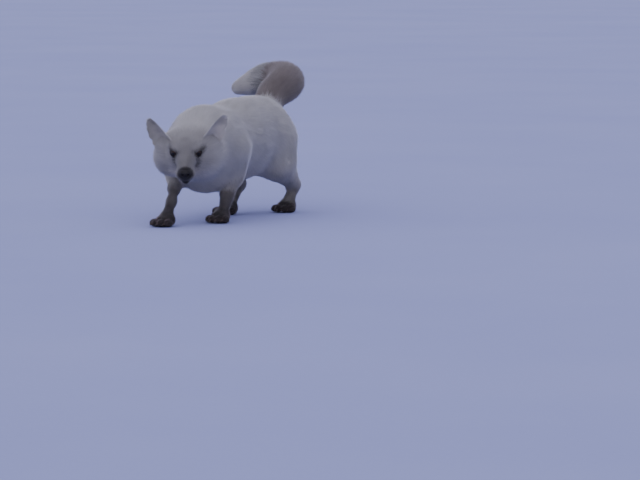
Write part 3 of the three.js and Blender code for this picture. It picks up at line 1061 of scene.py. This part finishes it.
def coat_groups(roots):
    """Parts the tufts into pieces by region and by place, each below the limit."""
    is_long = roots["depth"] >= LONG_FROM
    for number, region in enumerate(REGIONS):
        for style, profile in PROFILES.items():
            chosen = np.flatnonzero((roots["region"] == number) & (is_long == (style == "long")))
            if not len(chosen):
                continue
            chosen = chosen[np.argsort(roots["point"][chosen, 1])]
            triangles = len(chosen) * (len(profile) * 6 - 3)
            for i, part in enumerate(np.array_split(chosen, math.ceil(triangles / PIECE_LIMIT))):
                yield f"fur_{region}_{style}_{i + 1}", region, profile, part


def make_coat(mesh, values, materials):
    """Grows the tufts on the skin's mesh."""
    roots = grow_roots(mesh, values)
    for name, region, profile, part in coat_groups(roots):
        slot = SLOT_OF[region]
        chosen = {key: value[part] for key, value in roots.items()}
        object_of(tuft_mesh(name, chosen, profile, region != "ear"), materials[slot])


# ---- Eyes, nose, claws and whiskers ----


def make_eye(name, side, material):
    """An eyeball with a bulging cornea. Its own coordinates tell its material where the pupil is."""
    shape = bmesh.new()
    bmesh.ops.create_uvsphere(shape, u_segments=48, v_segments=32, radius=1)
    ball = np.array([v.co for v in shape.verts])
    ball = np.column_stack([ball[:, 0], -ball[:, 2], ball[:, 1]])  # its poles look forward and back
    faces = [[v.index for v in face.verts] for face in shape.faces]
    shape.free()
    bulge = 1 + 0.045 * ease(np.hypot(ball[:, 0], ball[:, 2]), 0.62, 0.3) * (ball[:, 1] < 0)
    points = EYES[side].outside(ball * bulge[:, None] * EYE_RADIUS)
    mesh = mesh_of(name, points, faces)
    put_vectors(mesh, "iris", ball)
    object_of(mesh, material, [name])


def nose_leather(points):
    """A ball that is wider above, with two nostrils and the groove between them."""
    local = HEAD.inside(points) - NOSE_AT
    x, y, z = np.abs(local[:, 0]), local[:, 1], local[:, 2]
    width = 1 + 0.22 * z / NOSE_RADII[2]
    scaled = np.column_stack([x / width, y, z]) / NOSE_RADII
    ball = (np.linalg.norm(scaled, axis=1) - 1) * 9
    here = np.column_stack([x, y, z])
    nostril = np.linalg.norm((here - (5.2, -8.4, 0.6)) / (3, 5, 2.5), axis=1) * 2.6 - 2.6
    _, wing = along_line(here, (6.4, -7.6, -0.6), (12.4, -2.6, -2.8))
    _, groove = along_line(here, (0, -9.6, 0.5), (0, -8.4, -9))
    hollows = melted(melted(nostril, wing - 1.0, 1.2), groove - 0.75, 0.8)
    return -melted(-ball, hollows, 1.4)


def make_nose(material):
    middle = HEAD.outside(NOSE_AT)
    points, faces = surface_of(nose_leather, middle - 18, middle + 18, 0.75)
    points = settled(nose_leather, points, 2, 0.2)
    object_of(mesh_of("nose_leather", points, faces), material, ["nose"])


def lofted(rings):
    """Points and faces of a closed surface through rings that hold the same number of points."""
    count, sides = rings.shape[:2]
    points = np.concatenate([rings.reshape(-1, 3), rings[:1].mean(1), rings[-1:].mean(1)])
    faces = []
    for s in range(sides):
        after = (s + 1) % sides
        for low in range(0, (count - 1) * sides, sides):
            high = low + sides
            faces.append((low + s, low + after, high + after, high + s))
        faces.append((after, s, count * sides))
        faces.append(((count - 1) * sides + s, (count - 1) * sides + after, count * sides + 1))
    return points, faces


def circle(sides):
    """Cosines and sines of evenly spaced turns."""
    turn = np.arange(sides) / sides * 2 * math.pi
    return np.cos(turn), np.sin(turn)


def claw_rings():
    """Rings of a claw that points along -Y, is narrower than it is high, and curves down."""
    t = np.linspace(0, 0.985, 12)[:, None]
    radius = CLAW_RADIUS * np.sqrt(1 - t)
    cosine, sine = circle(12)
    x = radius * 0.72 * cosine
    z = radius * sine - CLAW_DROP * t**2
    return np.stack([x, np.broadcast_to(-CLAW_LENGTH * t, x.shape), z], axis=-1)


def make_claws(material):
    points, faces = lofted(claw_rings())
    for name, leg in LEGS.items():
        limb, side = name.split("leg_")
        for i, (x, y, z) in enumerate(TOES):
            on_toe = Place((x, y - 7, z + 0.5), turned(-x * 0.8)).within(paw_place(leg["paw"]))
            node = f"claw_{limb}_{side}_{i + 1}"
            object_of(mesh_of(node, on_toe.outside(points), faces), material, [node])


def bristle(start, direction, length, radius):
    """Rings of a thin hair that bends down and tapers."""
    t = np.linspace(0, 1, 9)[:, None]
    line = start + direction * length * t + np.array([0, 0, -1]) * WHISKER_DROOP * length * t**2
    across = unit(np.cross(direction, (0, 0, 1)))
    above = np.cross(across, direction)
    cosine, sine = circle(5)
    ring = cosine[:, None] * across + sine[:, None] * above
    return line[:, None] + ring[None] * (radius * (1 - 0.9 * t))[..., None]


def whisker_rows():
    """Start, direction, length and radius of each whisker of the left side."""
    for row in range(3):
        for i in range(4):
            start = (13.5 + 1.2 * i, -43 + 5.5 * i + row, -25.5 - 3.4 * row)
            yield start, (0.95, 0.05 + 0.28 * i, 0.22 - 0.2 * row), 27 + 6 * i - 2 * row, 0.22
    for i in range(3):
        yield (21 + 3 * i, -3 + i, 13), (0.25 + 0.3 * i, -0.35, 0.8), 17 + 2 * i, 0.16


def make_whiskers(material):
    """Rows of whiskers on both sides of the muzzle, and a few above each eye."""
    points, faces = np.empty((0, 3)), []
    for side in SIDES.values():
        for start, direction, length, radius in whisker_rows():
            direction = unit(np.array(direction) + RANDOM.normal(0, 0.06, 3))
            direction = unit(HEAD.axes @ mirrored(direction, side))
            start = settled(skin, HEAD.outside(mirrored(start, side))[None], 4, 4)[0] - direction * 0.5
            length *= RANDOM.uniform(0.85, 1.1)
            more_points, more_faces = lofted(bristle(start, direction, length, radius))
            faces += [tuple(corner + len(points) for corner in face) for face in more_faces]
            points = np.concatenate([points, more_points])
    object_of(mesh_of("whiskers", points, faces), material)


# ---- Materials ----


class Shader:
    """A material's nodes, made and joined in one call each."""

    def __init__(self, name, roughness, **constants):
        self.material = bpy.data.materials.new(name)
        self.material.use_nodes = True
        self.tree = self.material.node_tree
        self.principled = self.tree.nodes["Principled BSDF"]
        self.principled.inputs["Roughness"].default_value = roughness
        for socket, value in constants.items():
            self.principled.inputs[socket.replace("_", " ")].default_value = value

    def node(self, kind, settings=None, **inputs):
        """A node; its inputs are values or the outputs of other nodes."""
        node = self.tree.nodes.new(kind)
        for key, value in (settings or {}).items():
            setattr(node, key, value)
        for socket, value in inputs.items():
            self.feed(node.inputs[socket.replace("_", " ")], value)
        return node

    def feed(self, socket, value):
        if isinstance(value, bpy.types.NodeSocket):
            self.tree.links.new(value, socket)
        else:
            socket.default_value = value

    def attribute(self, name, output="Vector"):
        return self.node("ShaderNodeAttribute", {"attribute_name": name}).outputs[output]

    def noise(self, vector, scale, detail=3):
        return self.node("ShaderNodeTexNoise", Vector=vector, Scale=scale, Detail=detail).outputs["Fac"]

    def maths(self, operation, a, b=0.0):
        node = self.node("ShaderNodeMath", {"operation": operation})
        self.feed(node.inputs[0], a)
        self.feed(node.inputs[1], b)
        return node.outputs[0]

    def scaled(self, vector, scale):
        return self.node("ShaderNodeMapping", Vector=vector, Scale=scale).outputs["Vector"]

    def stretched(self, value, low, high):
        """A value from 0 to 1, spread from low to high."""
        return self.node("ShaderNodeMapRange", Value=value, To_Min=low, To_Max=high).outputs["Result"]

    def where(self):
        """Places on the piece, in metres."""
        return self.node("ShaderNodeTexCoord").outputs["Object"]

    def coloured(self, value, *stops):
        """Takes its colour by a value, from stops at places from 0 to 1."""
        node = self.node("ShaderNodeValToRGB", Fac=value)
        elements = node.color_ramp.elements
        while len(elements) < len(stops):
            elements.new(1)
        for element, (place, colour) in zip(elements, stops):
            element.position = place
            element.color = (*colour, 1)
        self.feed(self.principled.inputs["Base Color"], node.outputs["Color"])

    def marked(self, fine, broad):
        """Takes its colour from the markings, in tones that vary finely and broadly."""
        node = self.node("ShaderNodeVectorMath", {"operation": "SCALE"})
        self.feed(node.inputs[0], self.attribute("markings", "Color"))
        self.feed(node.inputs["Scale"], self.maths("MULTIPLY", fine, broad))
        self.feed(self.principled.inputs["Base Color"], node.outputs[0])

    def roughened(self, value, low, high):
        self.feed(self.principled.inputs["Roughness"], self.stretched(value, low, high))

    def bump(self, height, distance):
        node = self.node("ShaderNodeBump", Height=height, Distance=distance)
        self.feed(self.principled.inputs["Normal"], node.outputs["Normal"])


def fur_material(name, contrast, relief, roughness):
    """Locks with fine hairs along them, in the coat's markings."""
    shader = Shader(
        name,
        roughness,
        Sheen_Weight=0.2,
        Sheen_Roughness=0.6,
        Specular_IOR_Level=0.25,
        Subsurface_Weight=0.7,
        Subsurface_Radius=(1, 1, 1),
        Subsurface_Scale=0.004,
    )
    hairs = shader.noise(shader.scaled(shader.attribute("strand"), (7, 1.2, 90)), 1, 2)
    patches = shader.noise(shader.where(), 35)
    shader.marked(shader.stretched(hairs, 1 - contrast, 1 + contrast), shader.stretched(patches, 0.94, 1.06))
    shader.bump(hairs, relief)
    return shader.material


def skin_material():
    """The down under the coat, and the bare rims of eyes and lips."""
    shader = Shader("skin_down", 0.85, Specular_IOR_Level=0.2)
    down = shader.noise(shader.where(), 900, 4)
    folds = shader.noise(shader.where(), 160, 3)
    shader.marked(shader.stretched(down, 0.85, 1.05), shader.stretched(folds, 0.95, 1.05))
    shader.bump(down, 0.0006)
    return shader.material


def eye_material():
    """A dark brown iris with rays, a black pupil and a wet surface."""
    shader = Shader("eye_wet", 0.2, Coat_Weight=0.2, Coat_Roughness=0.03, Specular_IOR_Level=0.15)
    iris = shader.attribute("iris")
    axes = shader.node("ShaderNodeSeparateXYZ", Vector=iris)
    squares = [shader.maths("POWER", axes.outputs[axis], 2.0) for axis in "XZ"]
    radius = shader.maths("SQRT", shader.maths("ADD", *squares))
    rays = shader.noise(shader.scaled(iris, (9, 1, 9)), 1, 5)
    shader.coloured(
        shader.maths("ADD", radius, shader.stretched(rays, -0.06, 0.06)),
        (0.36, (0.002, 0.002, 0.002)),
        (0.42, srgb(36, 21, 11)),
        (0.60, srgb(56, 33, 16)),
        (0.72, srgb(16, 11, 9)),
        (0.90, srgb(70, 56, 50)),
    )
    shader.roughened(rays, 0.12, 0.26)
    return shader.material


def nose_material():
    """Moist black leather with fine pebbles."""
    shader = Shader("nose_leather", 0.4, Specular_IOR_Level=0.2, Coat_Weight=0.06, Coat_Roughness=0.3)
    pebbles = shader.node("ShaderNodeTexVoronoi", Vector=shader.where(), Scale=950).outputs["Distance"]
    grime = shader.noise(shader.where(), 260, 4)
    shade = shader.maths("MULTIPLY", pebbles, grime)
    shader.coloured(shade, (0.05, srgb(13, 11, 12)), (0.4, srgb(30, 26, 28)))
    shader.roughened(grime, 0.38, 0.6)
    shader.bump(pebbles, 0.0004)
    return shader.material


def claw_material():
    """Dark horn, paler and worn in places, with fine rings and scratches."""
    shader = Shader("claw_horn", 0.4)
    grain = shader.noise(shader.scaled(shader.where(), (1, 0.25, 1)), 700, 4)
    shader.coloured(grain, (0.3, srgb(34, 27, 24)), (0.7, srgb(82, 68, 58)))
    shader.roughened(grain, 0.28, 0.55)
    shader.bump(grain, 0.0002)
    return shader.material


def whisker_material():
    """Stiff pale hair with darker and lighter stretches."""
    shader = Shader("whisker_hair", 0.4)
    grain = shader.noise(shader.where(), 120, 2)
    shader.coloured(grain, (0.35, srgb(120, 112, 106)), (0.65, srgb(205, 198, 190)))
    return shader.material


def floor_material():
    """Pale ground, a little uneven in tone."""
    shader = Shader("floor_pale", 0.9, Specular_IOR_Level=0.15)
    drift = shader.noise(shader.where(), 1.3, 4)
    shader.coloured(drift, (0.3, srgb(148, 154, 197)), (0.7, srgb(153, 159, 200)))
    shader.bump(shader.noise(shader.where(), 60, 4), 0.0008)
    return shader.material


# ---- Floor, lights and camera ----


def make_floor():
    mesh = bpy.data.meshes.new("floor")
    corners = [(-60, -60, 0), (60, -60, 0), (60, 60, 0), (-60, 60, 0)]
    mesh.from_pydata(corners, [], [(0, 1, 2, 3)])
    mesh.materials.append(floor_material())
    shown("floor", mesh)


def add_light(name, bearing, height, spread, strength, colour):
    """Parallel light from a wide patch of sky, `spread` degrees across."""
    light = bpy.data.lights.new(name, "SUN")
    light.angle = math.radians(spread)
    light.energy = strength
    light.color = colour
    lamp = shown(name, light)
    lamp.location = (0, 0, 2)
    lamp.rotation_euler = (math.radians(90 - height), 0, math.radians(bearing))


def light_scene():
    """Soft light from a wide pale sky, stronger from above, from the camera and from the fox's right."""
    world = bpy.data.worlds.new("sky")
    world.use_nodes = True
    background = world.node_tree.nodes["Background"]
    background.inputs["Color"].default_value = (0.71, 0.72, 1.0, 1)
    background.inputs["Strength"].default_value = SKY
    bpy.context.scene.world = world
    add_light("overhead", 0, 80, 70, OVERHEAD, (0.96, 0.95, 1.0))
    add_light("front", BEARING, 18, 90, FRONT, (0.93, 0.90, 1.0))
    add_light("side", BEARING - 80, 16, 90, SIDE, (0.95, 0.92, 1.0))


def place_camera():
    turn = Matrix.Rotation(math.radians(BEARING), 3, "Z")
    height = math.radians(HEIGHT_ANGLE)
    back = turn @ Vector((0, -math.cos(height), math.sin(height)))
    right = turn @ Vector((1, 0, 0))
    above = back.cross(right)
    low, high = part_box("forepaw_left")
    paw = Vector(((low.x + high.x) / 2, (low.y + high.y) / 2, 0))
    data = bpy.data.cameras.new("camera")
    data.sensor_width = 36
    data.lens = data.sensor_width * DISTANCE / VIEW_WIDTH
    data.clip_end = 200
    camera = shown("camera", data)
    camera.location = paw + back * DISTANCE - right * PAW_IN_VIEW[0] - above * PAW_IN_VIEW[1]
    camera.rotation_euler = Matrix((right, above, back)).transposed().to_euler()
    bpy.context.scene.camera = camera


# ---- The fox ----

FUR = {  # contrast of the hairs, their relief in metres, and roughness
    "body_fur": (0.10, 0.0004, 0.8),
    "leg_fur": (0.16, 0.0003, 0.75),
    "paw_fur": (0.2, 0.0003, 0.7),
    "tail_fur": (0.16, 0.0004, 0.8),
    "ear_fur": (0.12, 0.0002, 0.8),
}
furs = {name: fur_material(name, *values) for name, values in FUR.items()}
skin_mesh = make_skin()
flesh = [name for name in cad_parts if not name.startswith(("eye", "nose", "claw"))]
on_skin = coat_values(skin_mesh)
put_colour(skin_mesh, on_skin["colour"])
object_of(skin_mesh, skin_material(), flesh)
make_coat(skin_mesh, on_skin, furs)
wet = eye_material()
for side_name, side in SIDES.items():
    make_eye(f"eye_{side_name}", side, wet)
make_nose(nose_material())
make_claws(claw_material())
make_whiskers(whisker_material())
make_floor()
light_scene()
place_camera()
